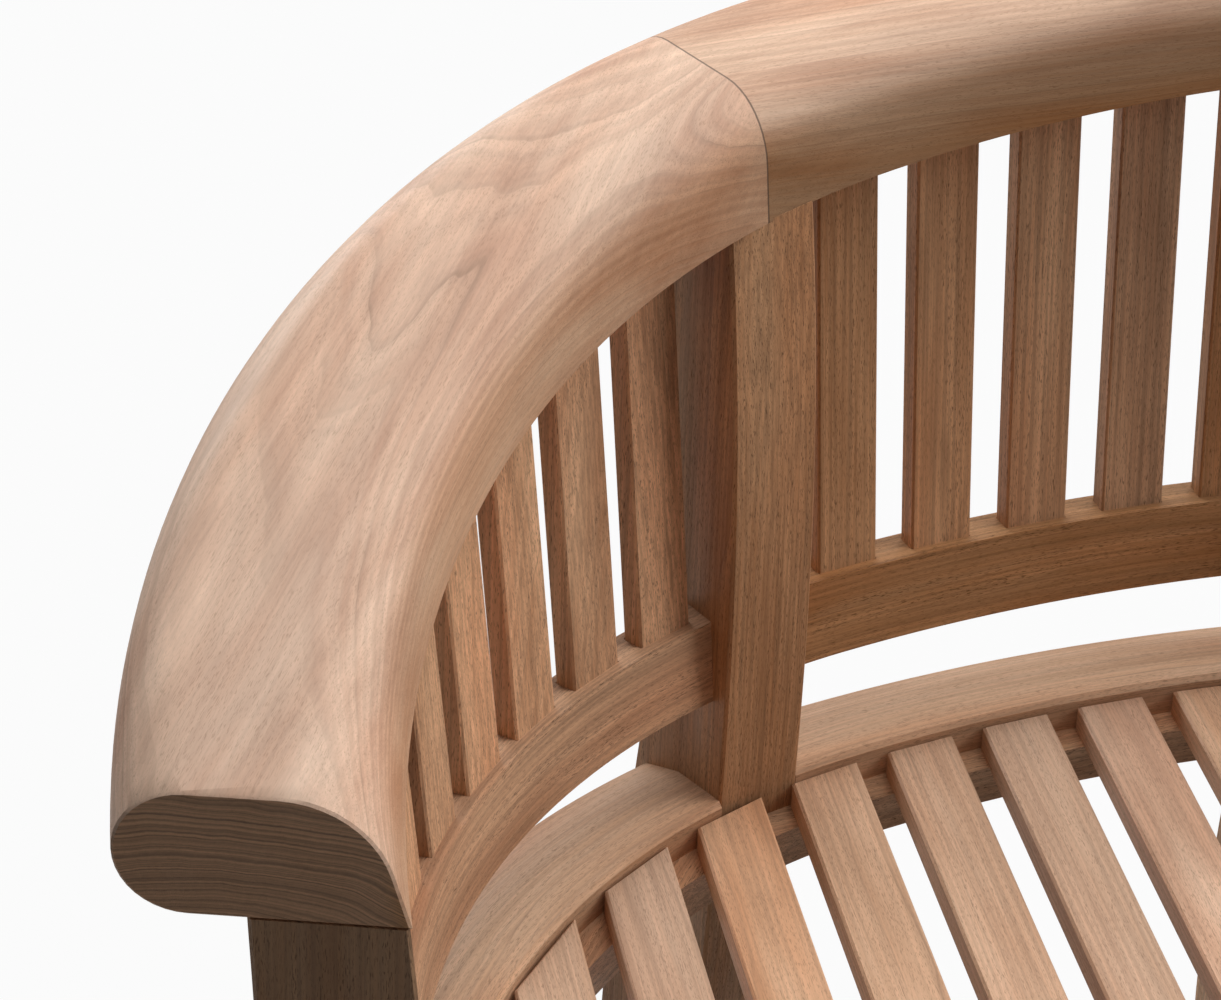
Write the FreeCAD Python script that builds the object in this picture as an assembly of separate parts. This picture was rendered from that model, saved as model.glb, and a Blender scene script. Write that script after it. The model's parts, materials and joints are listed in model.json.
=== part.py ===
import FreeCAD, Part
import math
import os

Vector = FreeCAD.Vector
UP = Vector(0, 0, 1)

# Driving dimensions, in millimetres and degrees.
# The bench faces -Y, its long axis is X, and the floor is Z = 0.
# Every curved piece follows one plan curve: the inner face of the upright slats at the lower rail's top.
# "run" is the length along that curve from the middle of the back, and "offset" is the distance outside it.

# Plan curve
BACK_RADIUS = 980.0
ARM_RADIUS = 455.0
TURN_ANGLE = 20.0            # from the middle of the back to where the tighter arm curve begins
BACK_MIDDLE_Y = 185.8        # the plan curve on the centre line

# Heights
SEAT_HEIGHT = 420.0          # top of the seat slats
LOWER_RAIL_TOP = 117.5       # above the seat, as are the next two
LOWER_RAIL_BOTTOM = 68.0
TOP_RAIL_EDGE = 357.5        # inner lower edge of the top rail at its joint
TOP_RAIL_SLOPE = 20.1        # the top rail falls from the back to the ends of the arms

# Top rail section: a flat underside, a leaning inner face, a soft inner shoulder and a full round outside
TOP_RAIL_WIDTH = 131.5
TOP_RAIL_THICKNESS = 66.0
TOP_RAIL_OFFSET_BACK = -9.4
TOP_RAIL_OFFSET_END = -4.5
INNER_LEAN_BACK = 7.0
INNER_LEAN_END = 22.0
INNER_ROUND_BACK = 39.0
INNER_ROUND_END = 48.0
TOP_JOINT_RUN = 410.0        # where the arm's length of rail meets the back's
ARM_END_RUN = 903.0          # where the inner lower edge of the arm ends
ARM_END_ANGLE = 80.0         # outward direction of the flat end cut, from +Y
RAIL_STEP = 5.5              # turn from one section of the rail to the next

# Upright slats
UPRIGHT_LEAN = 6.0
UPRIGHT_WIDTH = 39.0
UPRIGHT_THICKNESS = 13.6
UPRIGHT_EASE = 1.3           # width of the flat on its long edges
BACK_SLAT_RUNS = [83.2 + 62.6 * place for place in range(5)]
ARM_SLAT_RUNS = [465.2 + 57.2 * place for place in range(7)]
HOUSING_IN_TOP_RAIL = 18.0
HOUSING_IN_LOWER_RAIL = 10.0

# Lower rail
LOWER_RAIL_INNER = -6.4      # offset of the inner face at the top
LOWER_RAIL_OUTER = 18.5
LOWER_RAIL_TENON = 12.0      # thickness of the tenons at its ends

# Posts and legs: their faces, as offsets at the floor, the seat, the knee and the head
KNEE_HEIGHT = 115.0          # above the seat
REAR_POST_RUN = 407.5
REAR_POST_ANGLE = 24.0       # outward direction of the post, from +Y
REAR_POST_FRONT = (12.0, -25.0, -27.5, -6.0)
REAR_POST_BACK = (70.0, 56.0, 36.0, 38.0)
REAR_POST_WIDTH = 55.0
FRONT_LEG_INNER = (-10.0, -13.0, -7.0, 4.5)
FRONT_LEG_OUTER = (58.0, 67.0, 70.0, 75.0)
FRONT_LEG_DEPTH = 56.0
POST_EASE = 1.8
POST_LET_IN = 1.5            # head of a post above the rail's underside before it is cut to fit

# Seat frame
SEAT_RAIL_INNER = -25.0
SEAT_RAIL_OUTER = 50.0
SEAT_RAIL_LIP = 6.0          # the rail's inner top edge above the slats
SEAT_RAIL_EASE = 3.0         # flat on that edge
SEAT_RAIL_FALL = 10.0        # the rail's outer top edge below the slats
SEAT_RAIL_RIDGE = (18.0, 2.6)  # offset and height of the bend along its crowned top
SEAT_RAIL_DEPTH = 54.0       # underside below the slats' top
FRONT_RAIL_RADIUS = 3100.0
FRONT_RAIL_MIDDLE_Y = -219.3
FRONT_RAIL_WIDTH = 42.0
FRONT_RAIL_LIP = 2.0
FRONT_RAIL_NOSE = 18.0       # round of its top front edge, worked as this many flats
FRONT_RAIL_NOSE_FLATS = 4

# Tenons of the seat frame and the lower rail
TENON_LENGTH = 20.0
TENON_ROOT = 4.0             # start of a tenon inside its rail
SEAT_TENON_OFFSETS = (0.0, 18.0)
SEAT_TENON_BOTTOM = 44.0     # below the seat, as is the next
SEAT_TENON_TOP = 18.0

# Tenons on the heads of posts and legs: across the rail, along it and total length
POST_TENON = (28.0, 22.0, 60.0)
LEG_TENON = (36.0, 24.0, 60.0)
POST_TENON_OFFSET = 12.0     # middle of the tenon outside the plan curve
LEG_TENON_OFFSET = 35.0      # middle of the tenon outside the arm's inner corner
TENON_RISE = 38.0            # top of a tenon above the rail's inner lower edge

# Seat slats, cleats and bearer
SEAT_SLAT_WIDTH = 42.0
SEAT_SLAT_PITCH = 62.1
SEAT_SLAT_THICKNESS = 16.0
SEAT_SLAT_EASE = 1.5
SEAT_SLATS_EACH_SIDE = 9
SLAT_END_GAP = 1.0
CLEAT_WIDTH = 20.0
CLEAT_DEPTH = 24.0
CLEAT_END_GAP = 22.0         # between the front cleat and the arm cleat
BEARER_WIDTH = 44.0
BEARER_DEPTH = 36.0
BEARER_TENON = 20.0          # width and depth of its tenons
BEARER_TENON_LENGTH = 18.0

# Eight-sided dowels across the joints of the top rail
DOWEL_RADIUS = 6.0
DOWEL_SIDES = 8
DOWEL_LENGTH = 64.0
DOWEL_SPACING = 46.0
DOWEL_HEIGHT = 41.0          # above the rail's underside


def direction(angle):
    """Level unit vector at an angle from +Y towards +X."""
    turned = math.radians(angle)
    return Vector(math.sin(turned), math.cos(turned), 0)


# Worked-out values
TURN_RUN = BACK_RADIUS * math.radians(TURN_ANGLE)
BACK_CENTRE = Vector(0, BACK_MIDDLE_Y - BACK_RADIUS, 0)
ARM_CENTRE = BACK_CENTRE + direction(TURN_ANGLE) * (BACK_RADIUS - ARM_RADIUS)
FRONT_CENTRE = Vector(0, FRONT_RAIL_MIDDLE_Y - FRONT_RAIL_RADIUS, 0)
POST_OUT = direction(REAR_POST_ANGLE)
POST_ALONG = direction(REAR_POST_ANGLE + 90)
LEG_OUT = direction(ARM_END_ANGLE)
LEG_BACK = direction(ARM_END_ANGLE - 90)
LEG_TURN = TURN_ANGLE + math.degrees((ARM_END_RUN - FRONT_LEG_DEPTH / 2 - TURN_RUN) / ARM_RADIUS)
LEG_SIDE = direction(LEG_TURN)        # outward direction of the leg's side faces
LEG_ALONG = direction(LEG_TURN - 90) / math.cos(math.radians(LEG_TURN - ARM_END_ANGLE))
RIGHT = direction(90)
BACKWARD = direction(0)


def curve_at(run):
    """Centre, radius and angle of the plan curve at a run."""
    if run <= TURN_RUN:
        return BACK_CENTRE, BACK_RADIUS, math.degrees(run / BACK_RADIUS)
    return ARM_CENTRE, ARM_RADIUS, TURN_ANGLE + math.degrees((run - TURN_RUN) / ARM_RADIUS)


def run_at(angle):
    """Run where the plan curve faces an angle."""
    if angle <= TURN_ANGLE:
        return BACK_RADIUS * math.radians(angle)
    return TURN_RUN + ARM_RADIUS * math.radians(angle - TURN_ANGLE)


def plan(run, offset=0.0, height=0.0):
    """Point at a run along the plan curve, an offset outside it and a height above the floor."""
    centre, radius, angle = curve_at(run)
    return centre + direction(angle) * (radius + offset) + UP * height


def above_seat(height):
    return SEAT_HEIGHT + height


def outline(steps, place):
    """Closed wire through (u, w) steps; a step of two pairs is an arc through the first to the second."""
    edges = []
    here = steps[0]
    for step in steps[1:] + [steps[0]]:
        if isinstance(step[0], tuple):
            through, end = step
            edges.append(Part.Arc(place(*here), place(*through), place(*end)).toShape())
        else:
            end = step
            edges.append(Part.LineSegment(place(*here), place(*end)).toShape())
        here = end
    return Part.Wire(edges)


def rectangle(low_u, high_u, low_w, high_w):
    return [(low_u, low_w), (high_u, low_w), (high_u, high_w), (low_u, high_w)]


def ring(steps, first_run, last_run):
    """Solid with a constant (offset, height) section along the plan curve."""
    stretches = []
    cuts = [first_run, last_run]
    if first_run < TURN_RUN < last_run:
        cuts.insert(1, TURN_RUN)
    for begin, finish in zip(cuts, cuts[1:]):
        centre, radius, angle = curve_at((begin + finish) / 2)
        turn = math.degrees((finish - begin) / radius)
        outward = direction(angle - turn / 2)

        def place(offset, height):
            return centre + outward * (radius + offset) + UP * height

        face = Part.Face(outline(steps, place))
        stretches.append(face.revolve(centre, UP, -turn))
    solid = stretches[0]
    for stretch in stretches[1:]:
        solid = solid.fuse(stretch)
    return solid.removeSplitter()


def mirrored(shape):
    return shape.mirror(Vector(0, 0, 0), RIGHT)


def block(origin, axes, low, high):
    """Box between two corners given along three axes from an origin."""
    corners = rectangle(low[0], high[0], low[1], high[1])
    points = [origin + axes[0] * a + axes[1] * b + axes[2] * low[2] for a, b in corners]
    face = Part.Face(Part.makePolygon(points + points[:1]))
    return face.extrude(axes[2] * (high[2] - low[2]))


def beyond(point, outward):
    """Large block on the outward side of the upright plane through a point."""
    reach = 2 * BACK_RADIUS
    axes = (outward.cross(UP), UP, outward)
    return block(point, axes, (-reach, -reach, 0), (reach, reach, reach))


def eased(shape, width, chosen):
    """Take a small flat off the edges for which chosen(edge) is true."""
    edges = [edge for edge in shape.Edges if chosen(edge)]
    return shape.makeChamfer(width, edges)


def single(shape):
    """The one solid of a shape."""
    if len(shape.Solids) != 1:
        raise ValueError("expected one solid, found %d" % len(shape.Solids))
    return shape.Solids[0]


# Top rail


def blend(back, end, run):
    """Value that keeps its first size along the back and changes evenly to its second along the arm."""
    share = (run - TOP_JOINT_RUN) / (ARM_END_RUN - TOP_JOINT_RUN)
    return back + (end - back) * min(max(share, 0.0), 1.0)


def rail_edge_offset(run):
    return blend(TOP_RAIL_OFFSET_BACK, TOP_RAIL_OFFSET_END, run)


def rail_underside(run):
    """Height of the rail's inner lower edge, which lies in a plane that falls towards the front."""
    here = plan(run, rail_edge_offset(run)).y
    joint = plan(TOP_JOINT_RUN, rail_edge_offset(TOP_JOINT_RUN)).y
    return above_seat(TOP_RAIL_EDGE) + (here - joint) * math.tan(math.radians(TOP_RAIL_SLOPE))


def rail_section(run):
    """Section wire of the top rail in the upright plane across the plan curve."""
    lean = math.radians(blend(INNER_LEAN_BACK, INNER_LEAN_END, run))
    radius = blend(INNER_ROUND_BACK, INNER_ROUND_END, run)
    half = TOP_RAIL_THICKNESS / 2
    # The shoulder is an arc tangent to the leaning inner face and to the flat top
    centre_w = TOP_RAIL_THICKNESS - radius
    centre_u = (centre_w * math.sin(lean) + radius) / math.cos(lean)
    start = (centre_u - radius * math.cos(lean), centre_w + radius * math.sin(lean))
    middle = (lean + math.radians(90)) / 2
    through = (centre_u - radius * math.cos(middle), centre_w + radius * math.sin(middle))
    steps = [
        (0.0, 0.0),
        start,
        (through, (centre_u, TOP_RAIL_THICKNESS)),
        (TOP_RAIL_WIDTH - half, TOP_RAIL_THICKNESS),
        ((TOP_RAIL_WIDTH, half), (TOP_RAIL_WIDTH - half, 0.0)),
    ]

    def place(u, w):
        return plan(run, rail_edge_offset(run) + u, rail_underside(run) + w)

    return outline(steps, place)


def arm_end():
    """Inner lower corner of the flat end of the arm."""
    return plan(ARM_END_RUN, TOP_RAIL_OFFSET_END, rail_underside(ARM_END_RUN))


def top_rail_half():
    """Arm section and back section of the top rail, cut from one form that runs on past both ends."""
    last_step = math.ceil(curve_at(ARM_END_RUN)[2] / RAIL_STEP) + 1
    runs = [run_at(RAIL_STEP * step) for step in range(-1, last_step + 1)]
    form = Part.makeLoft([rail_section(run) for run in runs], True, True)
    form = form.cut([beyond(Vector(0, 0, 0), -RIGHT), beyond(arm_end(), -LEG_BACK)])
    past_joint = beyond(plan(TOP_JOINT_RUN), POST_ALONG)
    return form.common(past_joint), form.cut(past_joint)


# Upright slats


def upright_bar(run):
    """Square-edged leaning bar, which gives the slat's mortises their shape."""
    outward = direction(curve_at(run)[2])
    lean = math.radians(UPRIGHT_LEAN)
    up = outward * math.sin(lean) + UP * math.cos(lean)
    thick = outward * math.cos(lean) - UP * math.sin(lean)
    foot = above_seat(LOWER_RAIL_TOP)
    head = (rail_underside(run) - foot) / math.cos(lean) + HOUSING_IN_TOP_RAIL
    low = (-UPRIGHT_WIDTH / 2, 0, -HOUSING_IN_LOWER_RAIL)
    high = (UPRIGHT_WIDTH / 2, UPRIGHT_THICKNESS, head)
    return block(plan(run, 0, foot), (thick.cross(up), thick, up), low, high)


def upright_slat(bar):
    """Slat with eased long edges, housed at its foot in the lower rail and at its head in the top rail."""
    longest = max(edge.Length for edge in bar.Edges)
    return eased(bar, UPRIGHT_EASE, lambda edge: edge.Length > longest / 2)


# Posts and legs


def post_form(origin, outward, sweep, offsets, head):
    """Bar as wide as its sweep, from the floor up to a head, with smoothly curved inner and outer faces."""
    heights = (0.0, SEAT_HEIGHT, above_seat(KNEE_HEIGHT), head)

    def face_curve(places):
        points = [origin + outward * offset + UP * height for offset, height in zip(places, heights)]
        curve = Part.BSplineCurve()
        curve.interpolate(points)
        return curve.toShape(), points

    inner_edge, inner_points = face_curve(offsets[0])
    outer_edge, outer_points = face_curve(offsets[1])
    foot = Part.LineSegment(inner_points[0], outer_points[0]).toShape()
    top = Part.LineSegment(outer_points[-1], inner_points[-1]).toShape()
    side = Part.Face(Part.Wire([foot, outer_edge, top, inner_edge]))
    side.translate(sweep * -0.5)
    bar = side.extrude(sweep)
    return eased(bar, POST_EASE, lambda edge: edge.Length > SEAT_HEIGHT)


def below_rail(form, run, outward):
    """A post's form cut off just above the sloping underside of the top rail at a run."""
    reach = 2 * FRONT_LEG_DEPTH
    along = outward.cross(UP)
    sloped = (along + UP * (along.y * math.tan(math.radians(TOP_RAIL_SLOPE)))).normalize()
    origin = plan(run, rail_edge_offset(run), rail_underside(run) + POST_LET_IN)
    axes = (outward, sloped, outward.cross(sloped) * -1)
    return form.cut(block(origin, axes, (-reach, -reach, 0), (reach, reach, reach)))


def rear_post(run, outward):
    """Rear post with its knee at the lower rail, up to the top rail."""
    head = rail_underside(run) + TOP_RAIL_THICKNESS / 3
    sweep = UP.cross(outward) * REAR_POST_WIDTH
    form = post_form(plan(run), outward, sweep, (REAR_POST_FRONT, REAR_POST_BACK), head)
    return below_rail(form, run, outward)


def leg_middle():
    """Point under the inner lower edge of the arm, half the leg's depth behind the flat end."""
    return arm_end() + LEG_ALONG * (FRONT_LEG_DEPTH / 2)


def front_leg():
    """Front leg, flush with the flat end of the arm and with its sides along the arm, up to the top rail."""
    middle = leg_middle()
    head = middle.z + TOP_RAIL_THICKNESS / 2
    foot = Vector(middle.x, middle.y, 0)
    sweep = LEG_ALONG * FRONT_LEG_DEPTH
    form = post_form(foot, LEG_OUT, sweep, (FRONT_LEG_INNER, FRONT_LEG_OUTER), head)
    return below_rail(form, ARM_END_RUN - FRONT_LEG_DEPTH / 2, LEG_SIDE)


def head_tenon(middle, outward, height, size):
    """Tenon standing on the head of a post, given its middle, its top and its level size."""
    low = (-size[0] / 2, -size[1] / 2, height - size[2])
    high = (size[0] / 2, size[1] / 2, height)
    return block(Vector(middle.x, middle.y, 0), (outward, UP.cross(outward), UP), low, high)


def post_tenon(run, outward):
    middle = plan(run) + outward * POST_TENON_OFFSET
    return head_tenon(middle, outward, rail_underside(run) + TENON_RISE, POST_TENON)


def leg_tenon():
    middle = leg_middle() + LEG_OUT * LEG_TENON_OFFSET
    return head_tenon(middle, LEG_OUT, middle.z + TENON_RISE, LEG_TENON)


# Lower rail and seat rails


def lower_rail_section(cheek=0.0):
    """Leaning section of the lower rail, or of its tenon when a cheek is taken off each side."""
    top, bottom = above_seat(LOWER_RAIL_TOP), above_seat(LOWER_RAIL_BOTTOM)
    lean = (top - bottom) * math.tan(math.radians(UPRIGHT_LEAN))
    return [
        (LOWER_RAIL_INNER - lean + cheek, bottom + cheek),
        (LOWER_RAIL_OUTER - lean - cheek, bottom + cheek),
        (LOWER_RAIL_OUTER - cheek, top - cheek),
        (LOWER_RAIL_INNER + cheek, top - cheek),
    ]


def lower_tenon_section():
    return lower_rail_section((LOWER_RAIL_OUTER - LOWER_RAIL_INNER - LOWER_RAIL_TENON) / 2)


def seat_rail_section():
    """Wide section of the seat rail, with an eased inner edge and a crowned top that falls outwards."""
    bottom, lip = above_seat(-SEAT_RAIL_DEPTH), above_seat(SEAT_RAIL_LIP)
    ridge_offset, ridge_height = SEAT_RAIL_RIDGE
    return [
        (SEAT_RAIL_INNER, bottom),
        (SEAT_RAIL_OUTER, bottom),
        (SEAT_RAIL_OUTER, above_seat(-SEAT_RAIL_FALL)),
        (ridge_offset, above_seat(ridge_height)),
        (SEAT_RAIL_INNER + SEAT_RAIL_EASE, lip),
        (SEAT_RAIL_INNER, lip - SEAT_RAIL_EASE),
    ]


def seat_tenon_section():
    low, high = SEAT_TENON_OFFSETS
    return rectangle(low, high, above_seat(-SEAT_TENON_BOTTOM), above_seat(-SEAT_TENON_TOP))


def straight_tenon(section, end, outward, along):
    """Tenon with an (offset, height) section that runs straight on from the end of a curved rail."""
    root = end - along * TENON_ROOT

    def place(offset, height):
        return root + outward * offset + UP * height

    return Part.Face(outline(section, place)).extrude(along * (TENON_ROOT + TENON_LENGTH))


def back_rail(section, tenon):
    """Rail from the centre post to the side post, with a tenon into each."""
    half = REAR_POST_WIDTH / 2
    past_ends = [beyond(RIGHT * half, -RIGHT), beyond(plan(REAR_POST_RUN) - POST_ALONG * half, POST_ALONG)]
    bar = ring(section, half, REAR_POST_RUN).cut(past_ends)
    into_centre = straight_tenon(tenon, plan(half), BACKWARD, -RIGHT)
    into_side = straight_tenon(tenon, plan(REAR_POST_RUN - half), POST_OUT, POST_ALONG)
    return bar.fuse([into_centre, into_side]).removeSplitter()


def arm_rail(section, tenon):
    """Rail from the side post to the front leg, with a tenon into each."""
    half = REAR_POST_WIDTH / 2
    post_face = plan(REAR_POST_RUN) + POST_ALONG * half
    past_ends = [beyond(post_face, -POST_ALONG), beyond(leg_rear(), -LEG_BACK)]
    bar = ring(section, REAR_POST_RUN, ARM_END_RUN).cut(past_ends)
    into_post = straight_tenon(tenon, plan(REAR_POST_RUN + half), POST_OUT, -POST_ALONG)
    into_leg = straight_tenon(tenon, plan(ARM_END_RUN - FRONT_LEG_DEPTH), LEG_OUT, -LEG_BACK)
    return bar.fuse([into_post, into_leg]).removeSplitter()


# Front rail


def front_curve_y(x, rearward=0.0):
    """Y of the front rail's middle line at an x, or of a line that far behind it."""
    radius = FRONT_RAIL_RADIUS + rearward
    return FRONT_CENTRE.y + math.sqrt(radius ** 2 - x ** 2)


def front_bar(steps, half_length):
    """Bar along the front curve with a (rearward, height) section, centred on the middle."""
    half_turn = math.degrees(half_length / FRONT_RAIL_RADIUS)
    outward = direction(-half_turn)

    def place(rearward, height):
        return FRONT_CENTRE + outward * (FRONT_RAIL_RADIUS + rearward) + UP * height

    return Part.Face(outline(steps, place)).revolve(FRONT_CENTRE, UP, -2 * half_turn)


def front_rail_section():
    """Front seat rail section with a large round on its top front edge."""
    half = FRONT_RAIL_WIDTH / 2
    bottom, top = above_seat(-SEAT_RAIL_DEPTH), above_seat(FRONT_RAIL_LIP)
    nose = []
    for step in range(FRONT_RAIL_NOSE_FLATS + 1):
        turn = math.radians(90) * step / FRONT_RAIL_NOSE_FLATS
        forward = FRONT_RAIL_NOSE * (1 - math.sin(turn))
        down = FRONT_RAIL_NOSE * (1 - math.cos(turn))
        nose.append((-half + forward, top - down))
    return [(-half, bottom), (half, bottom), (half, top)] + nose


def leg_inner_point():
    """Middle of the leg's inner face at the height of the seat."""
    return leg_middle() + LEG_OUT * FRONT_LEG_INNER[1]


def leg_rear():
    """Point on the leg's rear face."""
    return arm_end() + LEG_BACK * FRONT_LEG_DEPTH


def front_rail(leg):
    """Front seat rail between the two legs, with a tenon into each."""
    half_length = leg_inner_point().x
    past_face = beyond(leg_inner_point() + LEG_OUT, LEG_SIDE)
    bar = front_bar(front_rail_section(), half_length + TENON_LENGTH)
    bar = bar.cut([past_face, mirrored(past_face), leg, mirrored(leg)])
    half = (SEAT_TENON_OFFSETS[1] - SEAT_TENON_OFFSETS[0]) / 2
    tenon = rectangle(-half, half, above_seat(-SEAT_TENON_BOTTOM), above_seat(-SEAT_TENON_TOP))
    return bar.fuse(front_bar(tenon, half_length + TENON_LENGTH)).removeSplitter()


# Seat slats and what carries them


def seat_back_y(x):
    """Y where a seat slat ends at the inner face of the curved seat rail."""
    inside = SEAT_RAIL_INNER - SLAT_END_GAP
    on_back = x <= plan(TURN_RUN, inside).x
    centre, radius = (BACK_CENTRE, BACK_RADIUS) if on_back else (ARM_CENTRE, ARM_RADIUS)
    return centre.y + math.sqrt((radius + inside) ** 2 - (x - centre.x) ** 2)


def seat_front_y(x):
    """Y where a seat slat ends at the rear face of the front rail."""
    return front_curve_y(x, FRONT_RAIL_WIDTH / 2 + SLAT_END_GAP)


def seat_slat(place_from_middle):
    """Seat slat on the right, its ends sawn straight to meet the curved front and back rails."""
    middle = (place_from_middle + 0.5) * SEAT_SLAT_PITCH
    left, right = middle - SEAT_SLAT_WIDTH / 2, middle + SEAT_SLAT_WIDTH / 2
    steps = [
        (left, seat_front_y(left)),
        (right, seat_front_y(right)),
        (right, seat_back_y(right)),
        (left, seat_back_y(left)),
    ]
    base = above_seat(-SEAT_SLAT_THICKNESS)
    slat = Part.Face(outline(steps, lambda x, y: Vector(x, y, base))).extrude(UP * SEAT_SLAT_THICKNESS)
    halfway = base + SEAT_SLAT_THICKNESS / 2
    return eased(slat, SEAT_SLAT_EASE, lambda edge: edge.BoundBox.ZMin > halfway)


def seat_bearer(rail, post):
    """Bearer under the middle of the seat, tenoned into the front rail and the centre post."""
    top = above_seat(-SEAT_SLAT_THICKNESS)
    axes = (RIGHT, BACKWARD, UP)
    half, cheek = BEARER_WIDTH / 2, (BEARER_DEPTH - BEARER_TENON) / 2
    front = FRONT_RAIL_MIDDLE_Y + FRONT_RAIL_WIDTH / 2
    rear = BACK_MIDDLE_Y + REAR_POST_FRONT[1]
    bar = block(
        Vector(0, 0, 0), axes,
        (-half, front - BEARER_TENON_LENGTH, top - BEARER_DEPTH),
        (half, rear + BEARER_TENON_LENGTH, top))
    core = block(
        Vector(0, 0, 0), axes,
        (-BEARER_TENON / 2, front - BEARER_TENON_LENGTH, top - BEARER_DEPTH + cheek),
        (BEARER_TENON / 2, rear + BEARER_TENON_LENGTH, top - cheek))
    return bar.cut([rail, post]).fuse(core).removeSplitter()


def seat_cleats(neighbours):
    """Cleats under the slats' ends along the back, the arm and the front, on the right."""
    top = above_seat(-SEAT_SLAT_THICKNESS)
    inner = SEAT_RAIL_INNER - CLEAT_WIDTH
    at_bearer = beyond(RIGHT * (BEARER_WIDTH / 2), -RIGHT)
    round_seat = ring(rectangle(inner, SEAT_RAIL_INNER, top - CLEAT_DEPTH, top), 0.0, ARM_END_RUN)
    round_seat = round_seat.cut(neighbours + [at_bearer, beyond(leg_rear(), -LEG_BACK)])
    past_post = beyond(plan(REAR_POST_RUN), POST_ALONG)
    face = FRONT_RAIL_WIDTH / 2
    front_section = rectangle(face, face + CLEAT_WIDTH, top - CLEAT_DEPTH, top)
    along_front = front_bar(front_section, leg_inner_point().x - CLEAT_WIDTH - CLEAT_END_GAP)
    along_front = along_front.cut(at_bearer)
    return {
        "seat_cleat_back": round_seat.cut(past_post),
        "seat_cleat_arm": round_seat.common(past_post),
        "seat_cleat_front": along_front,
    }


def joint_dowels(run, outward, along):
    """Pair of dowels across a joint of the top rail, side by side."""
    dowels = []
    for side in (-0.5, 0.5):
        reach = rail_edge_offset(run) + TOP_RAIL_WIDTH / 2 + side * DOWEL_SPACING
        middle = plan(run, 0, rail_underside(run) + DOWEL_HEIGHT) + outward * reach
        start = middle - along * (DOWEL_LENGTH / 2)
        corners = []
        for corner in range(DOWEL_SIDES):
            turn = math.radians(360) * corner / DOWEL_SIDES
            corners.append(start + (outward * math.cos(turn) + UP * math.sin(turn)) * DOWEL_RADIUS)
        face = Part.Face(Part.makePolygon(corners + corners[:1]))
        dowels.append(face.extrude(along * DOWEL_LENGTH))
    return dowels


# Assembly: the right-hand half is made, and the left is its mirror


def upright_pieces(top_rail):
    """Side post, centre post and leg, each ending under the top rail with a tenon up into it."""
    side = rear_post(REAR_POST_RUN, POST_OUT).cut(top_rail).fuse(post_tenon(REAR_POST_RUN, POST_OUT))
    centre = rear_post(0.0, BACKWARD).cut([top_rail, mirrored(top_rail)]).fuse(post_tenon(0.0, BACKWARD))
    leg = front_leg().cut(top_rail).fuse(leg_tenon())
    return side, centre, leg


def seat_and_back(pieces, whole, groups):
    """Fill in by name the right-hand pieces, the pieces on the centre line and the groups of like pieces."""
    arm_top, back_top = top_rail_half()
    side_post, centre_post, leg = upright_pieces(arm_top.fuse(back_top))
    back_bars = [upright_bar(run) for run in BACK_SLAT_RUNS]
    arm_bars = [upright_bar(run) for run in ARM_SLAT_RUNS]
    side_dowels = joint_dowels(TOP_JOINT_RUN, POST_OUT, POST_ALONG)
    centre_dowels = joint_dowels(0.0, BACKWARD, RIGHT)

    # Mortises and holes are cut by what goes into them
    pieces["top_rail_arm"] = arm_top.cut(arm_bars + side_dowels + [side_post, leg])
    into_back = back_bars + side_dowels + centre_dowels
    pieces["top_rail_back"] = back_top.cut(into_back + [side_post, centre_post])
    pieces["lower_rail_back"] = back_rail(lower_rail_section(), lower_tenon_section()).cut(back_bars)
    pieces["lower_rail_arm"] = arm_rail(lower_rail_section(), lower_tenon_section()).cut(arm_bars)
    pieces["seat_rail_back"] = back_rail(seat_rail_section(), seat_tenon_section())
    pieces["seat_rail_arm"] = arm_rail(seat_rail_section(), seat_tenon_section())
    rails = [shape for name, shape in pieces.items() if not name.startswith("top")]
    rail_at_front = front_rail(leg)
    bearer = seat_bearer(rail_at_front, centre_post)
    pieces.update(seat_cleats([side_post, rail_at_front]))
    pieces["rear_post"] = side_post.cut(rails)
    pieces["front_leg"] = leg.cut(rails + [rail_at_front])
    whole["rear_post_centre"] = centre_post.cut(rails + [mirrored(rail) for rail in rails] + [bearer])
    whole["seat_rail_front"] = rail_at_front.cut(bearer)
    whole["seat_bearer_centre"] = bearer

    for place, bar in enumerate(back_bars, 1):
        pieces["back_slat_%d" % place] = upright_slat(bar)
    for place in range(SEAT_SLATS_EACH_SIDE):
        pieces["seat_slat_%d" % (place + 1)] = seat_slat(place)
    arm_slats = [upright_slat(bar) for bar in arm_bars]
    groups["arm_slats_right"] = arm_slats
    groups["arm_slats_left"] = [mirrored(slat) for slat in arm_slats]
    groups["top_rail_dowels"] = side_dowels + [mirrored(one) for one in side_dowels] + centre_dowels


def main():
    os.makedirs("parts", exist_ok=True)
    pieces, whole, groups = {}, {}, {}
    seat_and_back(pieces, whole, groups)
    nodes = dict(whole)
    for name, shape in pieces.items():
        nodes[name + "_right"] = shape
        nodes[name + "_left"] = mirrored(shape)
    for name, shape in nodes.items():
        single(shape).exportStep("parts/%s.step" % name)
    for name, solids in groups.items():
        Part.makeCompound([single(solid) for solid in solids]).exportStep("parts/%s.step" % name)


main()
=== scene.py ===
import itertools
import json
import math

import bpy
from bpy.props import FloatProperty, FloatVectorProperty, PointerProperty
from mathutils import Matrix, Vector


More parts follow.
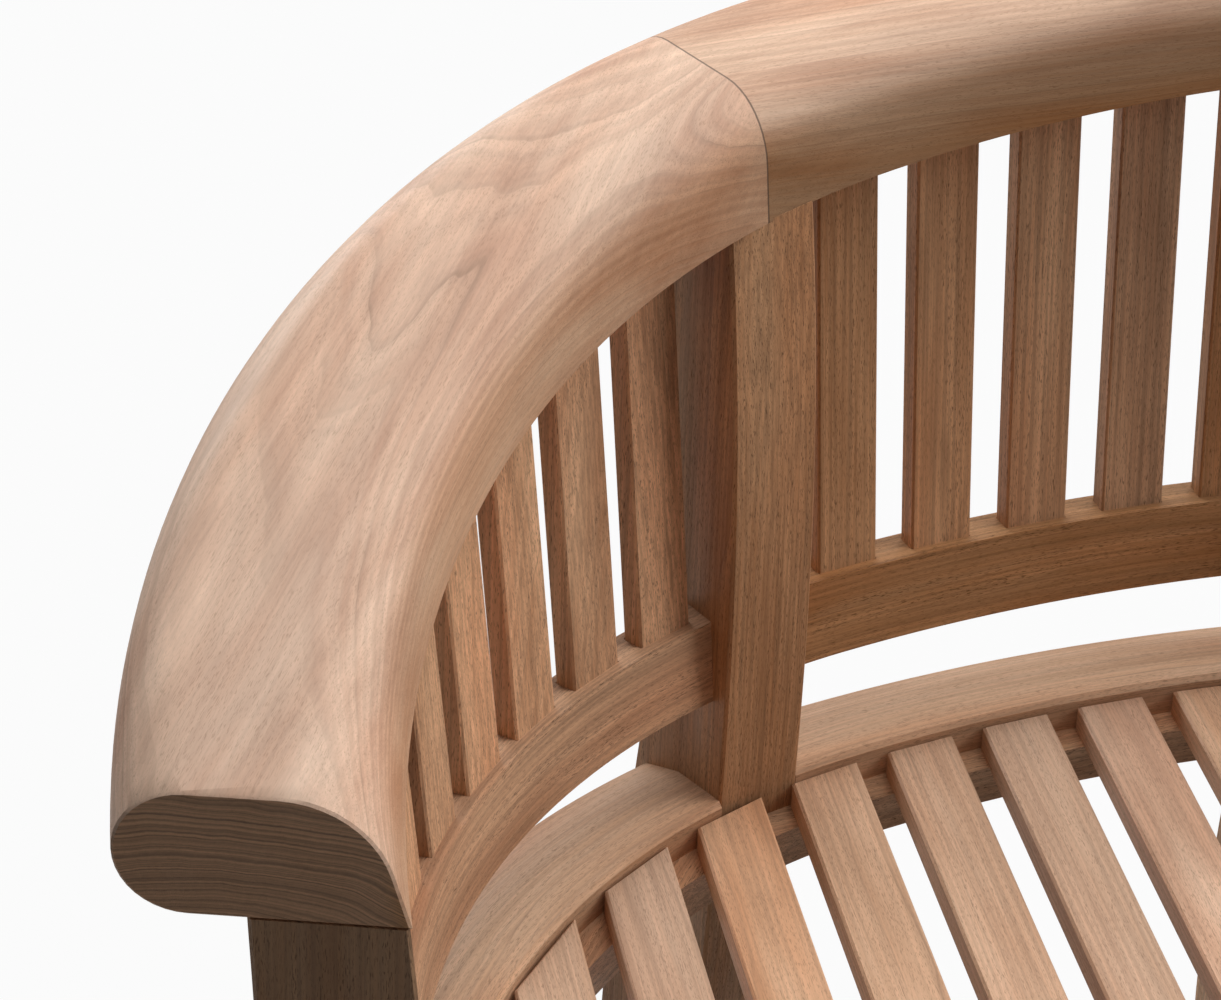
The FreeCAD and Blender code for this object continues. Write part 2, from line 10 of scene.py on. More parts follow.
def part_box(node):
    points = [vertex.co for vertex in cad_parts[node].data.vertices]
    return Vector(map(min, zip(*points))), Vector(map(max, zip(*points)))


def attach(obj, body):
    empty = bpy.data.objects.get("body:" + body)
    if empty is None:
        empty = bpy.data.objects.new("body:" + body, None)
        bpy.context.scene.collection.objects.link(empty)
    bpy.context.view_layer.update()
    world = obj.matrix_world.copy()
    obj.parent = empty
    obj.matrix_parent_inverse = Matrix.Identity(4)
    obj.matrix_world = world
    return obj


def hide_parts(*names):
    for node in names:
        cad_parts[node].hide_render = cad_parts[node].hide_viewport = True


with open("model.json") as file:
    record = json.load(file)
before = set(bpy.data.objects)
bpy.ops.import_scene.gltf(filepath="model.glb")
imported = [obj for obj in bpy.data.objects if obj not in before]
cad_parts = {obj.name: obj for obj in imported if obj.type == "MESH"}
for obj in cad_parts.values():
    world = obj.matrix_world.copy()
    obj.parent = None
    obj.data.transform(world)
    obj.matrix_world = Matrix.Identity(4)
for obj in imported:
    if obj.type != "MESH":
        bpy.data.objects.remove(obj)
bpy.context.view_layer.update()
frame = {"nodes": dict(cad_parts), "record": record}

bl_info = {
    "name": "Curved Teak Bench",
    "version": (1, 0, 0),
    "blender": (4, 5, 0),
    "location": "View3D > Sidebar > Bench",
    "description": "Gives a curved teak bench its timber finishes and sets it on a plain studio stage",
    "category": "Object",
}

# Sizes taken from the frame, in metres
FEET = {mount["name"]: Vector(mount["pos_m"]) for mount in frame["record"]["mounts"]}
SIDES = {"left": -1, "right": 1}

UP = Vector((0.0, 0.0, 1.0))
RIGHT = Vector((1.0, 0.0, 0.0))
BACKWARD = Vector((0.0, 1.0, 0.0))


def level(angle):
    """Level direction at an angle from +Y towards +X."""
    return Vector((math.sin(angle), math.cos(angle), 0.0))


# The plan curve that the bench follows, as in its construction: a wide curve along the back, a tighter one
# round each arm. "run" is the length along it from the middle of the back.
BACK_CURVE_RADIUS = 0.98
BACK_CURVE_MIDDLE = 0.1858              # Y of the curve on the centre line
BACK_CURVE_CENTRE = BACKWARD * (BACK_CURVE_MIDDLE - BACK_CURVE_RADIUS)
ARM_CURVE_RADIUS = 0.455
ARM_CURVE_START = math.radians(20.0)
ARM_CURVE_CENTRE = BACK_CURVE_CENTRE + level(ARM_CURVE_START) * (BACK_CURVE_RADIUS - ARM_CURVE_RADIUS)
FIRST_ARM_SLAT = math.radians(35.5)     # round the arm curve, from +Y
ARM_SLAT_STEP = math.radians(7.2)
SLAT_LEAN = math.radians(6.0)
BACK_CHORD_TURN = math.radians(12.0)    # of a straight line along one half of the back, from X

# Top rail: its section along the back, and the one that it changes to at the end of the arm
RAIL_WIDTH = 0.1315
RAIL_THICKNESS = 0.066
RAIL_EDGE_HEIGHT = 0.7775               # inner lower edge at the joint between arm and back
RAIL_SLOPE = math.radians(20.1)
RAIL_FACE = Vector((0.0, -math.sin(RAIL_SLOPE), math.cos(RAIL_SLOPE)))
RAIL_EDGE_OFFSETS = (-0.0094, -0.0045)  # inner lower edge outside the plan curve
RAIL_LEANS = (math.radians(7.0), math.radians(16.0))  # of the inner face
RAIL_SHOULDERS = (0.039, 0.052)         # round of the inner shoulder
RAIL_JOINT_RUN = 0.410
RAIL_JOINT_TURN = math.radians(24.0)    # outward direction of the joint, from +Y
RAIL_END_RUN = 0.903
RAIL_END_TURN = math.radians(80.0)      # outward direction of the flat end of the arm
RAIL_END_EASE = 0.0013
RAIL_SPARE = 0.06                       # length that is modelled past each cut
RAIL_RUN_STEP = 0.011
SHOULDER_STEPS = 10
OUTSIDE_STEPS = 20

# Rear posts: their place, and how much fuller their backs are than the solids up at the top rail
POST_RUN = 0.4075
POST_BACK = 0.022                       # least depth of the back face outside the plan curve
POST_FULLER = 0.02
POST_FULLER_FROM = 0.40                 # height where they begin to grow fuller

# Curved pieces: points closer than this are joined, and bends below this angle are shaded smoothly
JOIN_DISTANCE = 0.00002
SMOOTH_ANGLE = math.radians(28.0)

# Figure of the teak: features per metre along, across and through a board
WANDER_PER_METRE = (3.6, 12.0, 12.0)
RIPPLE_PER_METRE = (14.0, 60.0, 60.0)
FADING_PER_METRE = (5.0, 30.0, 30.0)
STREAKS_PER_METRE = (3.0, 48.0, 48.0)
FIBRES_PER_METRE = (5.0, 480.0, 480.0)
PORES_PER_METRE = (240.0, 2300.0, 2300.0)
CLOUDS_PER_METRE = (6.0, 26.0, 26.0)
REDNESS_PER_METRE = (3.0, 17.0, 17.0)
RIPPLE_SHARE = 0.14                     # of the wander
UNEVEN_SCALE = 0.45                     # changes of ring width, per ring
UNEVEN_RINGS = 1.6                      # how far rings are crowded or spread
LAYERS_PER_RING = 2.6
LINE_START = 0.84                       # share of a ring where its dark line starts
LINE_DARKEST = 0.965

# Colour and relief of the teak
RED_WOOD = (1.0, 0.9, 0.85, 1.0)        # tint of the redder patches
PATCH_SHARE = 0.8                       # share of the brown that comes from patches and streaks
RING_SHARE = 0.2                        # share of the brown that comes from the rings
END_GRAIN_FACING = (0.78, 0.86)         # cosine between face and grain where end grain starts and is full
END_GRAIN_LINES = 0.3                   # added strength of the growth lines there
END_GRAIN_LAYERS = 0.4                  # added strength of the layers there
LAYER_STRENGTH = 0.06
BASE_ROUGHNESS = 0.52
PORE_ROUGHNESS = 0.2
STREAK_ROUGHNESS = 0.1
PORE_DEPTH = 0.7                        # share of the relief, as is the next
LINE_DEPTH = 0.3
RELIEF_STRENGTH = 0.25
RELIEF_DEPTH = 0.0004
SPECULAR_LEVEL = 0.3

# Places that the pieces are cut from
LOG_LENGTH = 3.0                        # of log between the places of two curved pieces
ARM_SLAT_SPREAD = (9.0, 0.3, 0.3)       # how widely the arm slats are spread in their log
ARM_SLAT_HEART = (0.0, 0.2, 0.5)        # heart of the log in the arm slats' coordinates
ARM_SLATS_APART = 20.0                  # number from the left arm's first board to the right arm's
GOLDEN_SHARE = 0.618034                 # step that spreads a row of values evenly

# Tone and warmth of the boards, or the limits between which they differ
BACK_RAIL_LOOK = {"tone": 0.9, "warmth": 1.08}
LOWER_RAIL_LOOKS = {"arm": {"tone": 0.88, "warmth": 0.97}, "back": {"tone": 0.77, "warmth": 1.16}}
SEAT_RAIL_LOOK = {"tone": 0.92, "warmth": 1.12}
POST_TONES = {
    "front_leg_left": 0.5, "front_leg_right": 0.54,
    "rear_post_left": 0.82, "rear_post_right": 0.84, "rear_post_centre": 0.87}
POST_WARMTH = 1.08
POST_FACE_TURNS = (math.radians(40.0), math.radians(180.0))  # away from the heart, from +Y
BACK_SLAT_TONES = (0.88, 1.1)
SEAT_SLAT_TONES = (0.86, 1.03)
SLAT_WARMTHS = (0.94, 1.12)
SLAT_FACE_TILTS = (-1.2, 1.2)           # of the rings in a slat, as a slope
ARM_SLAT_TONES = (1.0, 1.2)
SUPPORT_TONE = 0.85

# Painted shade along the inner edge of the top rail, which makes the wood there darker and browner: where
# it fades, and its share of tone and warmth
INNER_SHADE_REACHES = {"arm": (-0.006, 0.010), "back": (-0.010, 0.002)}  # outside the plan curve
INNER_SHADE_LOOKS = {"arm": (0.84, 1.22), "back": (0.56, 1.36)}

# Thin line where two lengths of the top rail meet
JOINT_LINE_WIDTH = 0.0007
JOINT_LINE_STRENGTH = 0.75
JOINT_LINE_COLOUR = (0.05, 0.028, 0.016, 1.0)

# Floor and lamps
WHITE = (1.0, 1.0, 1.0, 1.0)
FLOOR_SIZE = 60.0
FLOOR_ROUGHNESS = 0.9
LAMP_AIM = Vector((0.0, 0.0, 0.5))
OVERHEAD_LAMP_PLACE = Vector((0.1, 0.6, 3.0))
OVERHEAD_LAMP_SIZE = 2.4
SIDE_LAMP_PLACE = Vector((4.9, -0.5, 3.4))
SIDE_LAMP_SIZE = 4.5
REAR_LAMP_PLACE = Vector((-2.0, 4.4, 2.4))
REAR_LAMP_SIZE = 2.4

# The photograph's width and focal length in its own pixels
PHOTO_WIDTH = 1221
PHOTO_FOCAL_LENGTH = 3706.9
SENSOR_WIDTH = 36.0                     # millimetres


class BenchTimber(bpy.types.PropertyGroup):
    """Colours and figure of the teak"""

    rail_pale: FloatVectorProperty(
        name="Top rail pale", description="Pale wood of the top rail",
        subtype="COLOR", default=(0.75, 0.535, 0.395), min=0.0, max=1.0)
    rail_brown: FloatVectorProperty(
        name="Top rail brown", description="Brown streaks of the top rail",
        subtype="COLOR", default=(0.47, 0.285, 0.195), min=0.0, max=1.0)
    frame_pale: FloatVectorProperty(
        name="Frame pale", description="Pale wood of the slats, posts and lower rails",
        subtype="COLOR", default=(0.70, 0.425, 0.25), min=0.0, max=1.0)
    frame_brown: FloatVectorProperty(
        name="Frame brown", description="Brown streaks of the slats, posts and lower rails",
        subtype="COLOR", default=(0.40, 0.205, 0.105), min=0.0, max=1.0)
    seat_pale: FloatVectorProperty(
        name="Seat pale", description="Pale wood of the seat",
        subtype="COLOR", default=(0.74, 0.50, 0.345), min=0.0, max=1.0)
    seat_brown: FloatVectorProperty(
        name="Seat brown", description="Brown streaks of the seat",
        subtype="COLOR", default=(0.54, 0.33, 0.21), min=0.0, max=1.0)
    line_colour: FloatVectorProperty(
        name="Growth line", description="Dark growth lines and pores",
        subtype="COLOR", default=(0.16, 0.085, 0.045), min=0.0, max=1.0)
    end_colour: FloatVectorProperty(
        name="End grain", description="Wood cut across the grain",
        subtype="COLOR", default=(0.5, 0.285, 0.165), min=0.0, max=1.0)
    ring_spacing: FloatProperty(
        name="Ring spacing", description="Distance between growth rings",
        subtype="DISTANCE", unit="LENGTH", default=0.0044, min=0.001, max=0.02)
    ring_waviness: FloatProperty(
        name="Ring waviness", description="How far the growth rings wander",
        subtype="DISTANCE", unit="LENGTH", default=0.018, min=0.0, max=0.05)


class BenchStage(bpy.types.PropertyGroup):
    """Floor, light and camera"""

    floor_colour: FloatVectorProperty(
        name="Floor", description="Colour of the plain floor",
        subtype="COLOR", default=(0.28, 0.28, 0.28), min=0.0, max=1.0)
    floor_glow: FloatProperty(
        name="Floor whiteness", description="Share of plain white that the camera sees on the floor",
        subtype="FACTOR", default=0.95, min=0.0, max=1.0)
    room_light: FloatProperty(
        name="Room light", description="Even light from all round",
        default=0.04, min=0.0, max=2.0)
    lamp_power: FloatProperty(
        name="Overhead lamp", description="Power of the large lamp above the bench",
        unit="POWER", default=66.0, min=0.0, max=1000.0)
    side_lamp_power: FloatProperty(
        name="Side lamp", description="Power of the large lamp to the right of the bench",
        unit="POWER", default=205.0, min=0.0, max=2000.0)
    rear_lamp_power: FloatProperty(
        name="Rear lamp", description="Power of the large lamp behind the bench",
        unit="POWER", default=90.0, min=0.0, max=2000.0)
    camera_place: FloatVectorProperty(
        name="Camera place", description="Where the camera stands",
        subtype="TRANSLATION", unit="LENGTH", default=(-0.7915, -1.6263, 1.6312))
    camera_heading: FloatProperty(
        name="Camera heading", description="Turn of the camera from +Y towards +X",
        subtype="ANGLE", unit="ROTATION", default=math.radians(10.5))
    camera_dip: FloatProperty(
        name="Camera dip", description="How far the camera looks down",
        subtype="ANGLE", unit="ROTATION", default=math.radians(30.22))
    camera_roll: FloatProperty(
        name="Camera roll", description="Lean of the camera about its line of sight",
        subtype="ANGLE", unit="ROTATION", default=math.radians(1.78))


# Small helpers for node trees


def add_node(tree, kind, values=None, **settings):
    """Add a node, set its properties, and give each named input a value or a link."""
    node = tree.nodes.new(kind)
    for name, value in settings.items():
        setattr(node, name, value)
    for socket, value in (values or {}).items():
        if isinstance(value, bpy.types.NodeSocket):
            tree.links.new(value, node.inputs[socket])
        else:
            node.inputs[socket].default_value = value
    return node


def maths(tree, operation, first, second=0.0):
    return add_node(tree, "ShaderNodeMath", {0: first, 1: second}, operation=operation).outputs[0]


def vector_maths(tree, operation, first, second=(0.0, 0.0, 0.0)):
    node = add_node(tree, "ShaderNodeVectorMath", {0: first, 1: second}, operation=operation)
    return node.outputs["Value"] if operation in ("LENGTH", "DOT_PRODUCT") else node.outputs["Vector"]


def smooth_step(tree, value, low, high, at_low=0.0, at_high=1.0):
    """Value that passes gently from one number to another between two limits."""
    return add_node(tree, "ShaderNodeMapRange", {
        "Value": value, "From Min": low, "From Max": high, "To Min": at_low, "To Max": at_high,
    }, interpolation_type="SMOOTHSTEP").outputs["Result"]


def stretched_noise(tree, vector, per_metre, detail, roughness=0.5):
    """Noise with its own number of features per metre along each axis of the board."""
    place = vector_maths(tree, "MULTIPLY", vector, per_metre)
    return add_node(tree, "ShaderNodeTexNoise", {
        "Vector": place, "Scale": 1.0, "Detail": detail, "Roughness": roughness,
    }).outputs["Fac"]


# The sockets of a mix node are found by number, because those of its kinds share their names


def mixed(tree, factor, first, second, blend_type="MIX"):
    """Mix of two colours."""
    values = {0: factor, 6: first, 7: second}
    return add_node(tree, "ShaderNodeMix", values, data_type="RGBA", blend_type=blend_type).outputs[2]


def mixed_value(tree, factor, first, second):
    """Mix of two values."""
    values = {0: factor, 2: first, 3: second}
    return add_node(tree, "ShaderNodeMix", values, data_type="FLOAT").outputs[0]


def new_group(name, inputs, outputs):
    """Empty shader node group with named sockets, and its input and output nodes."""
    tree = bpy.data.node_groups.new(name, "ShaderNodeTree")
    for socket, kind in inputs:
        tree.interface.new_socket(name=socket, in_out="INPUT", socket_type=kind)
    for socket, kind in outputs:
        tree.interface.new_socket(name=socket, in_out="OUTPUT", socket_type=kind)
    return tree, tree.nodes.new("NodeGroupInput"), tree.nodes.new("NodeGroupOutput")


def use_group(tree, name, values=None):
    """Place a node group in a tree, built the first time it is asked for."""
    group = bpy.data.node_groups.get(name) or GROUP_MAKERS[name]()
    return add_node(tree, "ShaderNodeGroup", values, node_tree=group)


# Node groups shared by the timber materials

FIGURE_PARTS = [
    "Growth Lines", "Ring Shade", "Layers", "Streaks", "Fibres", "Pores", "Clouds", "Redness"]
SURFACE_AMOUNTS = [
    "End Grain", "Tone", "Warmth", "Line Strength", "Pore Strength", "Streak Share", "Fibre Strength"]
SURFACE_COLOURS = ["Pale", "Brown", "Line Colour", "End Colour"]


def make_teak_figure():
    """Figure of a board whose grain runs along X and whose heart lies on X."""
    tree, given, result = new_group(
        "teak figure",
        [("Board", "NodeSocketVector"), ("Ring Spacing", "NodeSocketFloat"),
         ("Waviness", "NodeSocketFloat")],
        [(name, "NodeSocketFloat") for name in FIGURE_PARTS])
    board = given.outputs["Board"]

    def noise(per_metre, detail, roughness=0.5):
        return stretched_noise(tree, board, per_metre, detail, roughness)

    def show(value, part):
        tree.links.new(value, result.inputs[part])

    # Distance from the heart, wandering along the board, counted in rings of uneven width
    wander = maths(tree, "SUBTRACT", noise(WANDER_PER_METRE, 1.5), 0.5)
    ripple = maths(tree, "SUBTRACT", noise(RIPPLE_PER_METRE, 2.0), 0.5)
    wander = maths(tree, "ADD", wander, maths(tree, "MULTIPLY", ripple, RIPPLE_SHARE))
    wander = maths(tree, "MULTIPLY", wander, given.outputs["Waviness"])
    from_heart = vector_maths(tree, "LENGTH", vector_maths(tree, "MULTIPLY", board, (0.0, 1.0, 1.0)))
    from_heart = maths(tree, "ADD", from_heart, wander)
    rings = maths(tree, "DIVIDE", from_heart, given.outputs["Ring Spacing"])
    uneven = add_node(tree, "ShaderNodeTexNoise", {
        "W": rings, "Scale": UNEVEN_SCALE, "Detail": 1.0}, noise_dimensions="1D")
    rings = maths(tree, "ADD", rings, maths(tree, "MULTIPLY", uneven.outputs["Fac"], UNEVEN_RINGS))
    share = maths(tree, "FRACT", rings)

    # Each ring ends in a thin dark line, stronger in some rings than in others and fading along the board
    fading = smooth_step(tree, share, LINE_DARKEST, 1.0, 1.0, 0.0)
    lines = maths(tree, "MULTIPLY", smooth_step(tree, share, LINE_START, LINE_DARKEST), fading)
    ring_number = maths(tree, "FLOOR", rings)
    chance = add_node(tree, "ShaderNodeTexWhiteNoise", {"W": ring_number}, noise_dimensions="1D")
    lines = maths(tree, "MULTIPLY", lines, smooth_step(tree, chance.outputs["Value"], 0.0, 1.0, 0.25, 1.0))
    fainter = smooth_step(tree, noise(FADING_PER_METRE, 2.0), 0.35, 0.62, 0.2, 1.0)
    show(maths(tree, "MULTIPLY", lines, fainter), "Growth Lines")

    # Wood that darkens through each ring, and thin layers in it
    darkening = smooth_step(tree, share, 0.2, 0.85)
    ending = smooth_step(tree, share, 0.8, 1.0, 1.0, 0.0)
    show(maths(tree, "MULTIPLY", darkening, ending), "Ring Shade")
    layers = add_node(tree, "ShaderNodeTexNoise", {
        "W": rings, "Scale": LAYERS_PER_RING, "Detail": 2.5, "Roughness": 0.6}, noise_dimensions="1D")
    show(layers.outputs["Fac"], "Layers")

    # Streaks and fibres along the grain, fine pores, and soft patches of colour
    show(noise(STREAKS_PER_METRE, 4.0, 0.6), "Streaks")
    show(noise(FIBRES_PER_METRE, 2.0, 0.6), "Fibres")
    pores = smooth_step(tree, noise(PORES_PER_METRE, 1.0), 0.55, 0.68)
    thinning = smooth_step(tree, share, 0.2, 0.9, 1.0, 0.5)
    show(maths(tree, "MULTIPLY", pores, thinning), "Pores")
    show(noise(CLOUDS_PER_METRE, 2.5), "Clouds")
    show(noise(REDNESS_PER_METRE, 2.0), "Redness")
    return tree


def make_teak_surface():
    """Colour, roughness and height of sanded teak from its figure."""
    tree, given, result = new_group(
        "teak surface",
        [(name, "NodeSocketFloat") for name in FIGURE_PARTS + SURFACE_AMOUNTS]
        + [(name, "NodeSocketColor") for name in SURFACE_COLOURS],
        [("Color", "NodeSocketColor"), ("Roughness", "NodeSocketFloat"), ("Height", "NodeSocketFloat")])
    amount = given.outputs
    end_grain = amount["End Grain"]
    streaks = smooth_step(tree, amount["Streaks"], 0.3, 0.7)
    clouds = smooth_step(tree, amount["Clouds"], 0.32, 0.68)

    # Pale and brown wood in patches, streaks and rings, redder in places
    patches = mixed_value(tree, amount["Streak Share"], clouds, streaks)
    ring_brown = maths(tree, "MULTIPLY", amount["Ring Shade"], RING_SHARE)
    browning = maths(tree, "ADD", maths(tree, "MULTIPLY", patches, PATCH_SHARE), ring_brown)
    colour = mixed(tree, browning, amount["Pale"], amount["Brown"])
    redder = smooth_step(tree, amount["Redness"], 0.42, 0.7)
    colour = mixed(tree, redder, colour, RED_WOOD, "MULTIPLY")
    colour = mixed(tree, end_grain, colour, amount["End Colour"])

    # Growth lines, which show more where the wood is cut across, and pores
    stronger = maths(tree, "MULTIPLY", end_grain, END_GRAIN_LINES)
    line_share = maths(tree, "ADD", amount["Line Strength"], stronger)
    line_share = maths(tree, "MULTIPLY", amount["Growth Lines"], line_share)
    colour = mixed(tree, line_share, colour, amount["Line Colour"])
    pore_share = maths(tree, "MULTIPLY", amount["Pores"], amount["Pore Strength"])
    colour = mixed(tree, pore_share, colour, amount["Line Colour"])

    # Lighter and darker fibres and layers
    fibres = smooth_step(tree, amount["Fibres"], 0.28, 0.72, -1.0, 1.0)
    layers = smooth_step(tree, amount["Layers"], 0.28, 0.72, -1.0, 1.0)
    layer_share = maths(tree, "MULTIPLY", end_grain, END_GRAIN_LAYERS)
    layer_share = maths(tree, "ADD", layer_share, LAYER_STRENGTH)
    sheen = maths(tree, "MULTIPLY", fibres, amount["Fibre Strength"])
    sheen = maths(tree, "ADD", sheen, maths(tree, "MULTIPLY", layers, layer_share))
    tone = maths(tree, "MULTIPLY", amount["Tone"], maths(tree, "ADD", sheen, 1.0))
    toned = add_node(tree, "ShaderNodeHueSaturation", {
        "Color": colour, "Saturation": amount["Warmth"], "Value": tone})
    tree.links.new(toned.outputs["Color"], result.inputs["Color"])

    # Pores and streaks are rougher, and pores and growth lines lie deeper
    roughness = maths(tree, "ADD", maths(tree, "MULTIPLY", amount["Pores"], PORE_ROUGHNESS), BASE_ROUGHNESS)
    roughness = maths(tree, "ADD", roughness, maths(tree, "MULTIPLY", streaks, STREAK_ROUGHNESS))
    tree.links.new(roughness, result.inputs["Roughness"])
    pore_depth = maths(tree, "MULTIPLY", amount["Pores"], PORE_DEPTH)
    line_depth = maths(tree, "MULTIPLY", amount["Growth Lines"], LINE_DEPTH)
    sunk = maths(tree, "ADD", pore_depth, line_depth)
    tree.links.new(maths(tree, "SUBTRACT", 1.0, sunk), result.inputs["Height"])
    return tree


def make_end_grain():
    """Mask of the faces that are cut across the grain."""
    tree, given, result = new_group(
        "end grain", [("Along", "NodeSocketVector")], [("Mask", "NodeSocketFloat")])
    facing = tree.nodes.new("ShaderNodeTexCoord").outputs["Normal"]
    square = maths(tree, "ABSOLUTE", vector_maths(tree, "DOT_PRODUCT", facing, given.outputs["Along"]))
    tree.links.new(smooth_step(tree, square, *END_GRAIN_FACING), result.inputs["Mask"])
    return tree


def make_joint_line():
    """Mask of the thin line where two pieces meet at a plane."""
    tree, given, result = new_group(
        "joint line",
        [("Normal", "NodeSocketVector"), ("Distance", "NodeSocketFloat"), ("Width", "NodeSocketFloat")],
        [("Mask", "NodeSocketFloat")])
    place = tree.nodes.new("ShaderNodeTexCoord").outputs["Object"]
    off_plane = vector_maths(tree, "DOT_PRODUCT", place, given.outputs["Normal"])
    off_plane = maths(tree, "ABSOLUTE", maths(tree, "SUBTRACT", off_plane, given.outputs["Distance"]))
    inside = maths(tree, "DIVIDE", off_plane, given.outputs["Width"])
    tree.links.new(smooth_step(tree, inside, 0.5, 1.0, 1.0, 0.0), result.inputs["Mask"])
    return tree


def curve_place(tree, centre):
    """Turn round a curve's centre from +Y, distance from it and height, alike on both sides."""
    place = tree.nodes.new("ShaderNodeTexCoord").outputs["Object"]
    sides = add_node(tree, "ShaderNodeSeparateXYZ", {0: place})
    across = maths(tree, "SUBTRACT", maths(tree, "ABSOLUTE", sides.outputs["X"]), centre.x)
    behind = maths(tree, "SUBTRACT", sides.outputs["Y"], centre.y)
    flat = add_node(tree, "ShaderNodeCombineXYZ", {"X": across, "Y": behind})
    distance = vector_maths(tree, "LENGTH", flat.outputs["Vector"])
    return maths(tree, "ARCTAN2", across, behind), distance, sides.outputs["Z"]


def make_arm_slat_boards():
    """Board coordinates for the slats round an arm, each slat cut from its own part of the log."""
    tree, given, result = new_group(
        "arm slat boards", [("First Board", "NodeSocketFloat")],
        [("Board", "NodeSocketVector"), ("Tone", "NodeSocketFloat")])
    turn, distance, height = curve_place(tree, ARM_CURVE_CENTRE)
    turn = maths(tree, "SUBTRACT", turn, FIRST_ARM_SLAT)
    count = maths(tree, "ROUND", maths(tree, "DIVIDE", turn, ARM_SLAT_STEP))
    count = maths(tree, "ADD", count, given.outputs["First Board"])
    chance = add_node(tree, "ShaderNodeTexWhiteNoise", {"W": count}, noise_dimensions="1D")
    around = maths(tree, "MULTIPLY", turn, ARM_CURVE_RADIUS)
    board = add_node(tree, "ShaderNodeCombineXYZ", {"X": height, "Y": around, "Z": distance})
    spread_in_log = vector_maths(tree, "MULTIPLY", chance.outputs["Color"], ARM_SLAT_SPREAD)
    board = vector_maths(tree, "ADD", board.outputs["Vector"], spread_in_log)
    tree.links.new(vector_maths(tree, "SUBTRACT", board, ARM_SLAT_HEART), result.inputs["Board"])
    tone = smooth_step(tree, chance.outputs["Value"], 0.0, 1.0, *ARM_SLAT_TONES)
    tree.links.new(tone, result.inputs["Tone"])
    return tree


def make_curved_boards(name, centre, radius):
    """Board coordinates that follow a curve of the bench, measured from the heart of the log."""
    tree, given, result = new_group(name, [("Heart", "NodeSocketVector")], [("Board", "NodeSocketVector")])
    turn, distance, height = curve_place(tree, centre)
    around = maths(tree, "MULTIPLY", turn, radius)
    outside = maths(tree, "SUBTRACT", distance, radius)
    board = add_node(tree, "ShaderNodeCombineXYZ", {"X": around, "Y": outside, "Z": height})
    board = vector_maths(tree, "SUBTRACT", board.outputs["Vector"], given.outputs["Heart"])
    tree.links.new(board, result.inputs["Board"])
    return tree


def make_back_curve_boards():
    return make_curved_boards("back curve boards", BACK_CURVE_CENTRE, BACK_CURVE_RADIUS)


def make_arm_curve_boards():
    return make_curved_boards("arm curve boards", ARM_CURVE_CENTRE, ARM_CURVE_RADIUS)


def make_inner_shade(curve, centre, radius):
    """Mask of the painted shade along the inner side of a curve of the bench."""
    tree, _, result = new_group(curve + " painted inner shade", [], [("Mask", "NodeSocketFloat")])
    _, distance, _ = curve_place(tree, centre)
    outside = maths(tree, "SUBTRACT", distance, radius)
    # Painted shade: full on the inner side of the curve, fading out across the rail
    mask = smooth_step(tree, outside, *INNER_SHADE_REACHES[curve], at_low=1.0, at_high=0.0)
    tree.links.new(mask, result.inputs["Mask"])
    return tree


def make_back_inner_shade():
    return make_inner_shade("back", BACK_CURVE_CENTRE, BACK_CURVE_RADIUS)


def make_arm_inner_shade():
    return make_inner_shade("arm", ARM_CURVE_CENTRE, ARM_CURVE_RADIUS)


GROUP_MAKERS = {
    "teak figure": make_teak_figure,
    "teak surface": make_teak_surface,
    "end grain": make_end_grain,
    "joint line": make_joint_line,
    "arm slat boards": make_arm_slat_boards,
    "back curve boards": make_back_curve_boards,
    "arm curve boards": make_arm_curve_boards,
    "back painted inner shade": make_back_inner_shade,
    "arm painted inner shade": make_arm_inner_shade,
}


# Timber materials


def even_spread(number):
    """Value between 0 and 1 that differs well from those of the numbers next to it."""
    return (number * GOLDEN_SHARE) % 1.0


def board_turn(along, face):
    """Turn of a board whose grain runs along one direction and whose wide face looks another way."""
    grain = along.normalized()
    edge = face.cross(grain).normalized()
    return Matrix((grain, edge, grain.cross(edge))).transposed().to_euler()


def middle_of(node):
    low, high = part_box(node)
    return (low + high) / 2


def varied(number, low, high):
    """Value between two limits that differs from piece to piece."""
    return low + (high - low) * even_spread(number)


class Finish:
    """Colours of one kind of timber, and how strongly the parts of its figure show."""

    def __init__(self, pale, brown, lines, pores, streaks, fibres):
        self.colours = {"Pale": opaque(pale), "Brown": opaque(brown)}
        self.amounts = {
            "Line Strength": lines, "Pore Strength": pores,
            "Streak Share": streaks, "Fibre Strength": fibres}


def rail_finish(timber):
    return Finish(timber.rail_pale, timber.rail_brown, lines=0.36, pores=0.26, streaks=0.42, fibres=0.065)


def frame_finish(timber):
    return Finish(timber.frame_pale, timber.frame_brown, lines=0.45, pores=0.8, streaks=0.45, fibres=0.21)


def seat_finish(timber):
    return Finish(timber.seat_pale, timber.seat_brown, lines=0.4, pores=0.45, streaks=0.4, fibres=0.12)


class Board:
    """Where a piece was cut from its log, how light it is and how warm its colour is."""

    def __init__(self, node, along, face, heart_depth, heart_side=0.0, tone=1.0, warmth=1.0):
        edge = face.cross(along).normalized()
        self.node = node
        self.along = along.normalized()
        self.turn = board_turn(along, face)
        self.heart = middle_of(node) - face.normalized() * heart_depth + edge * heart_side
        self.tone = tone
        self.warmth = warmth

    def coordinates(self, tree):
        """Board coordinates of the surface, and the mask of its end grain."""
        place = tree.nodes.new("ShaderNodeTexCoord").outputs["Object"]
        mapping = add_node(tree, "ShaderNodeMapping", {
            "Vector": place, "Location": self.heart, "Rotation": self.turn}, vector_type="TEXTURE")
        end_grain = use_group(tree, "end grain", {"Along": self.along})
        return mapping.outputs["Vector"], end_grain.outputs["Mask"]


